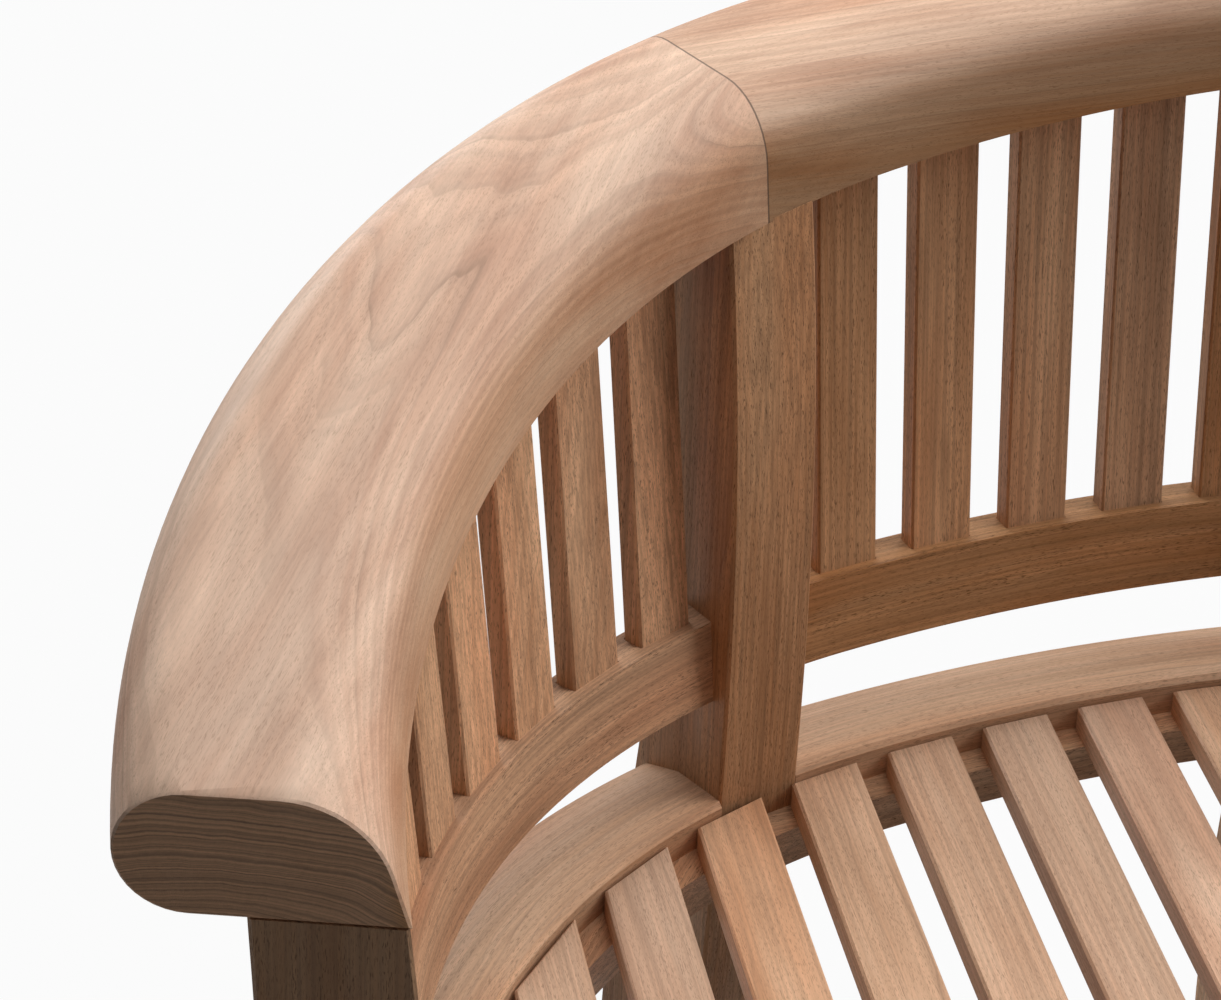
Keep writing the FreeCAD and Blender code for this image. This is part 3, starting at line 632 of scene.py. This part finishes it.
class CurvedBoard:
    """Where a piece whose grain follows a curve of the bench was cut from its log, and its colour."""

    def __init__(self, node, curve, number, heart_depth, heart_side, tone=1.0, warmth=1.0):
        self.node = node
        self.curve = curve
        self.heart = Vector((LOG_LENGTH * number, heart_side, middle_of(node).z - heart_depth))
        self.tone = tone
        self.warmth = warmth

    def coordinates(self, tree):
        """Board coordinates of the surface, none of which is cut across the grain."""
        return use_group(tree, self.curve + " curve boards", {"Heart": self.heart}).outputs["Board"], 0.0


def opaque(colour):
    return (*colour, 1.0)


def start_material(name):
    """New material with a plain Principled BSDF, its tree and its shader."""
    material = bpy.data.materials.new(name)
    material.use_nodes = True
    tree = material.node_tree
    shader = tree.nodes["Principled BSDF"]
    shader.inputs["Specular IOR Level"].default_value = SPECULAR_LEVEL
    return material, tree, shader


def teak_surface(tree, board, end_mask, tone, warmth, finish):
    """Surface group of teak fed by board coordinates."""
    timber = bpy.context.scene.bench_timber
    figure = use_group(tree, "teak figure", {
        "Board": board, "Ring Spacing": timber.ring_spacing, "Waviness": timber.ring_waviness})
    shown = {socket.name: socket for socket in figure.outputs}
    return use_group(tree, "teak surface", {
        **shown, **finish.amounts, **finish.colours,
        "End Grain": end_mask, "Tone": tone, "Warmth": warmth,
        "Line Colour": opaque(timber.line_colour), "End Colour": opaque(timber.end_colour)})


def finish_shader(tree, shader, surface, colour):
    """Join a teak surface to the shader, with its pores and growth lines as fine relief."""
    tree.links.new(colour, shader.inputs["Base Color"])
    tree.links.new(surface.outputs["Roughness"], shader.inputs["Roughness"])
    relief = add_node(tree, "ShaderNodeBump", {
        "Height": surface.outputs["Height"], "Strength": RELIEF_STRENGTH, "Distance": RELIEF_DEPTH})
    tree.links.new(relief.outputs["Normal"], shader.inputs["Normal"])


def teak_material(board, finish, joints=(), shaded_curve=None):
    """Teak for one piece, with a thin dark line at each joint plane given as (normal, distance).

    Where a curve is named, painted shade makes the wood darker and browner along its inner side.
    """
    material, tree, shader = start_material("teak." + board.node)
    place, end_mask = board.coordinates(tree)
    tone, warmth = board.tone, board.warmth
    # Painted shade: darker, browner wood along the inner side of the named curve
    if shaded_curve:
        mask = use_group(tree, shaded_curve + " painted inner shade").outputs["Mask"]
        shade_tone, shade_warmth = INNER_SHADE_LOOKS[shaded_curve]
        tone = mixed_value(tree, mask, tone, tone * shade_tone)
        warmth = mixed_value(tree, mask, warmth, warmth * shade_warmth)
    surface = teak_surface(tree, place, end_mask, tone, warmth, finish)
    colour = surface.outputs["Color"]
    for normal, distance in joints:
        seam = use_group(tree, "joint line", {
            "Normal": normal, "Distance": distance, "Width": JOINT_LINE_WIDTH})
        seam_share = maths(tree, "MULTIPLY", seam.outputs["Mask"], JOINT_LINE_STRENGTH)
        colour = mixed(tree, seam_share, colour, JOINT_LINE_COLOUR)
    finish_shader(tree, shader, surface, colour)
    return material


def give(piece, material):
    """Put a material on a piece in place of its plain one."""
    piece.data.materials.clear()
    piece.data.materials.append(material)


def finish_node(node, material):
    """Finish a piece of the frame whose shape stays as it is."""
    give(frame["nodes"][node], material)


def start_piece(name, mesh):
    """New object for a mesh, alone selected and active."""
    piece = bpy.data.objects.new(name, mesh)
    bpy.context.scene.collection.objects.link(piece)
    bpy.ops.object.select_all(action="DESELECT")
    piece.select_set(True)
    bpy.context.view_layer.objects.active = piece
    return piece


def put_on(piece, node, material):
    """Finish a piece that stands for a node of the frame, its gentle bends shaded smoothly."""
    bpy.ops.object.shade_smooth_by_angle(angle=SMOOTH_ANGLE)
    give(piece, material)
    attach(piece, "root")
    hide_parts(node)


def finish_smoothly(node, material):
    """Finish a curved piece: a copy of it with its facets joined."""
    piece = start_piece(node + ".smooth", frame["nodes"][node].data.copy())
    bpy.ops.object.mode_set(mode="EDIT")
    bpy.ops.mesh.select_all(action="SELECT")
    bpy.ops.mesh.remove_doubles(threshold=JOIN_DISTANCE)
    bpy.ops.object.mode_set(mode="OBJECT")
    bpy.ops.mesh.customdata_custom_splitnormals_clear()
    put_on(piece, node, material)
    return piece


def mirrored(vector, sign):
    """Vector on the right-hand side, or its mirror where the sign is -1."""
    return Vector((sign * vector.x, vector.y, vector.z))


def arm_chord(side):
    """Level direction from the rear post to the front leg of one side."""
    chord = FEET["foot_front_" + side] - FEET["foot_rear_" + side]
    return chord.normalized()


def back_chord(sign):
    """Level direction along one half of the back, towards its side post."""
    return mirrored(level(math.pi / 2 + BACK_CHORD_TURN), sign)


def down_slope(direction):
    """Direction along the sloping plane of the top rail above a level direction."""
    return Vector((direction.x, direction.y, direction.y * math.tan(RAIL_SLOPE))).normalized()


# Top rail


def curve_at(run):
    """Centre, radius and turn of the plan curve at a run."""
    if run <= BACK_CURVE_RADIUS * ARM_CURVE_START:
        return BACK_CURVE_CENTRE, BACK_CURVE_RADIUS, run / BACK_CURVE_RADIUS
    past = run - BACK_CURVE_RADIUS * ARM_CURVE_START
    return ARM_CURVE_CENTRE, ARM_CURVE_RADIUS, ARM_CURVE_START + past / ARM_CURVE_RADIUS


def plan(run, offset=0.0):
    """Point at a run along the plan curve and an offset outside it."""
    centre, radius, turn = curve_at(run)
    return centre + level(turn) * (radius + offset)


def limited(share):
    """Share kept between 0 and 1."""
    return min(max(share, 0.0), 1.0)


def along_arm(sizes, run):
    """Size that keeps its first value along the back and changes evenly to its second along the arm."""
    share = (run - RAIL_JOINT_RUN) / (RAIL_END_RUN - RAIL_JOINT_RUN)
    return sizes[0] + (sizes[1] - sizes[0]) * limited(share)


def rail_edge(run):
    """Point on the inner lower edge of the top rail, which falls towards the front."""
    edge = plan(run, along_arm(RAIL_EDGE_OFFSETS, run))
    joint = plan(RAIL_JOINT_RUN, RAIL_EDGE_OFFSETS[0])
    edge.z = RAIL_EDGE_HEIGHT + (edge.y - joint.y) * math.tan(RAIL_SLOPE)
    return edge


def rail_section(run):
    """Points round the top rail: leaning inner face, soft shoulder, flat top and full round outside."""
    lean = along_arm(RAIL_LEANS, run)
    shoulder = along_arm(RAIL_SHOULDERS, run)
    half = RAIL_THICKNESS / 2
    centre_height = RAIL_THICKNESS - shoulder
    centre_out = (centre_height * math.sin(lean) + shoulder) / math.cos(lean)
    places = [(0.0, 0.0)]
    for step in range(SHOULDER_STEPS + 1):
        turn = lean + (math.pi / 2 - lean) * step / SHOULDER_STEPS
        places.append((centre_out - shoulder * math.cos(turn), centre_height + shoulder * math.sin(turn)))
    for step in range(OUTSIDE_STEPS + 1):
        turn = math.pi * step / OUTSIDE_STEPS
        places.append((RAIL_WIDTH - half + half * math.sin(turn), half + half * math.cos(turn)))
    outward = level(curve_at(run)[2])
    return [rail_edge(run) + outward * out + UP * height for out, height in places]


def cut_square(point, outward, ease):
    """Cut the edited mesh off at a plane, close the end, and ease the edge round it if a width is given."""
    bpy.ops.mesh.select_all(action="SELECT")
    bpy.ops.mesh.normals_make_consistent(inside=False)
    bpy.ops.mesh.bisect(plane_co=point - outward * ease, plane_no=outward, use_fill=True, clear_outer=True)
    if ease:
        bpy.ops.mesh.inset(thickness=ease, depth=ease)


def model_rail(node, first_run, last_run, sign, cuts):
    """Length of the top rail between two runs, its ends cut at planes given as (point, outward, ease)."""
    length = last_run - first_run + 2 * RAIL_SPARE
    count = round(length / RAIL_RUN_STEP)
    sections = []
    for step in range(count + 1):
        run = first_run - RAIL_SPARE + length * step / count
        sections.append([mirrored(point, sign) for point in rail_section(run)])
    size = len(sections[0])
    faces = []
    for row in range(count):
        here, after = row * size, (row + 1) * size
        for corner in range(size):
            beside = (corner + 1) % size
            faces.append((here + corner, here + beside, after + beside, after + corner))
    mesh = bpy.data.meshes.new(node + ".smooth")
    mesh.from_pydata([point for section in sections for point in section], [], faces)
    piece = start_piece(node + ".smooth", mesh)
    bpy.ops.object.mode_set(mode="EDIT")
    for point, outward, ease in cuts:
        cut_square(point, outward, ease)
    bpy.ops.mesh.select_all(action="SELECT")
    bpy.ops.mesh.normals_make_consistent(inside=False)
    bpy.ops.object.mode_set(mode="OBJECT")
    return piece


class BENCH_OT_top_rail(bpy.types.Operator):
    """Model and finish the four lengths of the wide top rail, with the joint lines between them"""

    bl_idname = "bench.top_rail"
    bl_label = "Top rail"

    def execute(self, context):
        finish = rail_finish(context.scene.bench_timber)
        for side, sign in SIDES.items():
            joint = mirrored(plan(RAIL_JOINT_RUN), sign)
            toward_arm = mirrored(level(RAIL_JOINT_TURN + math.pi / 2), sign)
            side_line = (toward_arm, toward_arm.dot(joint))
            end = mirrored(rail_edge(RAIL_END_RUN), sign)
            forward = mirrored(level(RAIL_END_TURN + math.pi / 2), sign)

            arm = "top_rail_arm_" + side
            piece = model_rail(arm, RAIL_JOINT_RUN, RAIL_END_RUN, sign, [
                (joint, -toward_arm, 0.0), (end, forward, RAIL_END_EASE)])
            along = down_slope(arm_chord(side))
            board = Board(arm, along, RAIL_FACE, heart_depth=0.18)
            # The arm length of the rail gets painted shade along its inner side
            put_on(piece, arm, teak_material(board, finish, [side_line], "arm"))

            back = "top_rail_back_" + side
            piece = model_rail(back, 0.0, RAIL_JOINT_RUN, sign, [
                (joint, toward_arm, 0.0), (Vector(), RIGHT * -sign, 0.0)])
            board = Board(
                back, back_chord(sign), UP, heart_depth=0.15, heart_side=0.12, **BACK_RAIL_LOOK)
            # The back length of the rail gets painted shade along its inner side
            put_on(piece, back, teak_material(board, finish, [side_line, (RIGHT, 0.0)], "back"))
        return {"FINISHED"}


class BENCH_OT_rails(bpy.types.Operator):
    """Finish the lower rails of the back and the rails round the seat"""

    bl_idname = "bench.rails"
    bl_label = "Lower and seat rails"

    def execute(self, context):
        timber = context.scene.bench_timber
        for number, (curve, side) in enumerate(itertools.product(LOWER_RAIL_LOOKS, SIDES)):
            lower = "lower_rail_%s_%s" % (curve, side)
            board = CurvedBoard(
                lower, curve, number, heart_depth=0.05, heart_side=0.11, **LOWER_RAIL_LOOKS[curve])
            finish_smoothly(lower, teak_material(board, frame_finish(timber)))
            seat = "seat_rail_%s_%s" % (curve, side)
            board = CurvedBoard(
                seat, curve, number + 5, heart_depth=0.15, heart_side=0.05, **SEAT_RAIL_LOOK)
            finish_smoothly(seat, teak_material(board, seat_finish(timber)))
        board = Board(
            "seat_rail_front", RIGHT, UP, heart_depth=0.12, heart_side=0.06, **SEAT_RAIL_LOOK)
        finish_smoothly("seat_rail_front", teak_material(board, seat_finish(timber)))
        return {"FINISHED"}


def fill_out(post, place, outward):
    """Move the back of a rear post outwards, more and more from the seat up to its head."""
    for vertex in post.data.vertices:
        height_share = (vertex.co.z - POST_FULLER_FROM) / (RAIL_EDGE_HEIGHT - POST_FULLER_FROM)
        depth_share = (vertex.co - place).dot(outward) / POST_BACK
        vertex.co += outward * POST_FULLER * limited(height_share) * limited(depth_share)


class BENCH_OT_posts(bpy.types.Operator):
    """Finish the rear posts and the front legs"""

    bl_idname = "bench.posts"
    bl_label = "Posts and legs"

    def execute(self, context):
        finish = frame_finish(context.scene.bench_timber)
        pieces = {}
        for number, (name, tone) in enumerate(POST_TONES.items()):
            face = level(varied(number, *POST_FACE_TURNS))
            board = Board(
                name, UP, face, heart_depth=0.13, heart_side=varied(number + 7, 0.0, 0.05),
                tone=tone, warmth=POST_WARMTH)
            pieces[name] = finish_smoothly(name, teak_material(board, finish))
        fill_out(pieces["rear_post_centre"], plan(0.0), BACKWARD)
        for side, sign in SIDES.items():
            place = mirrored(plan(POST_RUN), sign)
            fill_out(pieces["rear_post_" + side], place, mirrored(level(RAIL_JOINT_TURN), sign))
        return {"FINISHED"}


class BENCH_OT_back_slats(bpy.types.Operator):
    """Finish the upright slats of the back, each from its own board"""

    bl_idname = "bench.back_slats"
    bl_label = "Back slats"

    def execute(self, context):
        finish = frame_finish(context.scene.bench_timber)
        names = [name for name in sorted(frame["nodes"]) if name.startswith("back_slat_")]
        for number, name in enumerate(names):
            outward = middle_of(name) - BACK_CURVE_CENTRE
            outward.z = 0.0
            outward.normalize()
            along = UP + outward * math.tan(SLAT_LEAN)
            face = outward + outward.cross(UP) * varied(number, *SLAT_FACE_TILTS)
            board = Board(
                name, along, face, heart_depth=varied(number + 3, 0.06, 0.2), heart_side=0.05,
                tone=varied(number + 5, *BACK_SLAT_TONES), warmth=varied(number + 8, *SLAT_WARMTHS))
            finish_node(name, teak_material(board, finish))
        return {"FINISHED"}


class BENCH_OT_arm_slats(bpy.types.Operator):
    """Finish the upright slats of the arms, each slat with its own part of the log"""

    bl_idname = "bench.arm_slats"
    bl_label = "Arm slats"

    def execute(self, context):
        finish = frame_finish(context.scene.bench_timber)
        for number, side in enumerate(SIDES):
            name = "arm_slats_" + side
            material, tree, shader = start_material("teak." + name)
            boards = use_group(tree, "arm slat boards", {"First Board": ARM_SLATS_APART * number})
            end_mask = use_group(tree, "end grain", {"Along": UP}).outputs["Mask"]
            surface = teak_surface(
                tree, boards.outputs["Board"], end_mask, boards.outputs["Tone"], 1.0, finish)
            finish_shader(tree, shader, surface, surface.outputs["Color"])
            finish_node(name, material)
        return {"FINISHED"}


class BENCH_OT_seat_slats(bpy.types.Operator):
    """Finish the seat slats, each from its own board"""

    bl_idname = "bench.seat_slats"
    bl_label = "Seat slats"

    def execute(self, context):
        finish = seat_finish(context.scene.bench_timber)
        names = [name for name in sorted(frame["nodes"]) if name.startswith("seat_slat_")]
        for number, name in enumerate(names):
            face = UP + RIGHT * varied(number, *SLAT_FACE_TILTS)
            board = Board(
                name, BACKWARD, face, heart_depth=varied(number + 2, 0.08, 0.24), heart_side=0.04,
                tone=varied(number + 4, *SEAT_SLAT_TONES), warmth=varied(number + 9, *SLAT_WARMTHS))
            finish_node(name, teak_material(board, finish))
        return {"FINISHED"}


class BENCH_OT_seat_supports(bpy.types.Operator):
    """Finish the cleats and the bearer under the seat, and the dowels in the top rail"""

    bl_idname = "bench.seat_supports"
    bl_label = "Seat supports and dowels"

    def execute(self, context):
        timber = context.scene.bench_timber
        directions = {"seat_bearer_centre": BACKWARD}
        for side, sign in SIDES.items():
            directions["seat_cleat_arm_" + side] = arm_chord(side)
            directions["seat_cleat_back_" + side] = back_chord(sign)
            directions["seat_cleat_front_" + side] = RIGHT
        for name, along in directions.items():
            board = Board(name, along, UP, heart_depth=0.1, heart_side=0.05, tone=SUPPORT_TONE)
            finish_node(name, teak_material(board, frame_finish(timber)))
        board = Board("top_rail_dowels", RIGHT, UP, heart_depth=0.1)
        finish_node("top_rail_dowels", teak_material(board, rail_finish(timber)))
        return {"FINISHED"}


# Stage


def seen_directly(tree):
    """1 for what the camera sees, also in gloss and through glass, and 0 for what lights the bench."""
    path = tree.nodes.new("ShaderNodeLightPath")
    seen = maths(tree, "MAXIMUM", path.outputs["Is Camera Ray"], path.outputs["Is Glossy Ray"])
    return maths(tree, "MAXIMUM", seen, path.outputs["Is Transmission Ray"])


def floor_material(stage):
    """Pale floor that the camera sees as nearly white, with a trace of the bench's shadow."""
    material, tree, shader = start_material("floor")
    shader.inputs["Base Color"].default_value = opaque(stage.floor_colour)
    shader.inputs["Roughness"].default_value = FLOOR_ROUGHNESS
    glow = add_node(tree, "ShaderNodeEmission", {"Color": WHITE, "Strength": 1.0})
    share = maths(tree, "MULTIPLY", seen_directly(tree), stage.floor_glow)
    both = add_node(tree, "ShaderNodeMixShader", {0: share, 1: shader.outputs[0], 2: glow.outputs[0]})
    tree.links.new(both.outputs[0], tree.nodes["Material Output"].inputs["Surface"])
    return material


def add_floor(stage):
    bpy.ops.object.select_all(action="DESELECT")
    bpy.ops.mesh.primitive_plane_add(size=FLOOR_SIZE, location=(0.0, 0.0, 0.0))
    floor = bpy.context.object
    floor.name = "floor"
    floor.data.materials.append(floor_material(stage))


def add_lamp(name, place, size, power):
    """Large soft lamp that looks at the bench."""
    data = bpy.data.lights.new(name, "AREA")
    data.shape = "DISK"
    data.size = size
    data.energy = power
    lamp = bpy.data.objects.new(name, data)
    lamp.location = place
    lamp.rotation_euler = (LAMP_AIM - place).to_track_quat("-Z", "Y").to_euler()
    bpy.context.scene.collection.objects.link(lamp)


def set_room_light(stage):
    """Even light from all round, and a white backdrop for the camera."""
    world = bpy.data.worlds.new("studio")
    bpy.context.scene.world = world
    world.use_nodes = True
    tree = world.node_tree
    room = tree.nodes["Background"]
    room.inputs["Color"].default_value = WHITE
    room.inputs["Strength"].default_value = stage.room_light
    white = add_node(tree, "ShaderNodeBackground", {"Color": WHITE, "Strength": 1.0})
    both = add_node(tree, "ShaderNodeMixShader", {
        0: seen_directly(tree), 1: room.outputs[0], 2: white.outputs[0]})
    tree.links.new(both.outputs[0], tree.nodes["World Output"].inputs["Surface"])


def add_camera(stage):
    """Camera at the photograph's place and angle."""
    data = bpy.data.cameras.new("camera")
    data.sensor_fit = "HORIZONTAL"
    data.sensor_width = SENSOR_WIDTH
    data.lens = SENSOR_WIDTH * PHOTO_FOCAL_LENGTH / PHOTO_WIDTH
    camera = bpy.data.objects.new("camera", data)
    heading = Matrix.Rotation(-stage.camera_heading, 4, "Z")
    dip = Matrix.Rotation(math.pi / 2 - stage.camera_dip, 4, "X")
    roll = Matrix.Rotation(stage.camera_roll, 4, "Z")
    camera.matrix_world = Matrix.Translation(stage.camera_place) @ heading @ dip @ roll
    bpy.context.scene.collection.objects.link(camera)
    bpy.context.scene.camera = camera


class BENCH_OT_stage(bpy.types.Operator):
    """Set the floor, the soft light and the camera"""

    bl_idname = "bench.stage"
    bl_label = "Stage"

    def execute(self, context):
        stage = context.scene.bench_stage
        add_floor(stage)
        add_lamp("overhead lamp", OVERHEAD_LAMP_PLACE, OVERHEAD_LAMP_SIZE, stage.lamp_power)
        add_lamp("side lamp", SIDE_LAMP_PLACE, SIDE_LAMP_SIZE, stage.side_lamp_power)
        add_lamp("rear lamp", REAR_LAMP_PLACE, REAR_LAMP_SIZE, stage.rear_lamp_power)
        set_room_light(stage)
        add_camera(stage)
        context.scene.view_settings.view_transform = "Standard"
        return {"FINISHED"}


class BENCH_PT_sidebar(bpy.types.Panel):
    """Steps that finish the bench, and their settings"""

    bl_idname = "BENCH_PT_sidebar"
    bl_label = "Curved Teak Bench"
    bl_space_type = "VIEW_3D"
    bl_region_type = "UI"
    bl_category = "Bench"

    def draw(self, context):
        for step in STEPS:
            self.layout.operator(step.bl_idname)
        for settings in (context.scene.bench_timber, context.scene.bench_stage):
            for name in settings.__annotations__:
                self.layout.prop(settings, name)


STEPS = (
    BENCH_OT_top_rail,
    BENCH_OT_rails,
    BENCH_OT_posts,
    BENCH_OT_back_slats,
    BENCH_OT_arm_slats,
    BENCH_OT_seat_slats,
    BENCH_OT_seat_supports,
    BENCH_OT_stage,
)
CLASSES = (BenchTimber, BenchStage, *STEPS, BENCH_PT_sidebar)


def register():
    for cls in CLASSES:
        bpy.utils.register_class(cls)
    bpy.types.Scene.bench_timber = PointerProperty(type=BenchTimber)
    bpy.types.Scene.bench_stage = PointerProperty(type=BenchStage)


def unregister():
    del bpy.types.Scene.bench_stage
    del bpy.types.Scene.bench_timber
    for cls in reversed(CLASSES):
        bpy.utils.unregister_class(cls)


def main():
    register()
    bpy.ops.bench.top_rail()
    bpy.ops.bench.rails()
    bpy.ops.bench.posts()
    bpy.ops.bench.back_slats()
    bpy.ops.bench.arm_slats()
    bpy.ops.bench.seat_slats()
    bpy.ops.bench.seat_supports()
    bpy.ops.bench.stage()


if __name__ == "__main__":
    main()
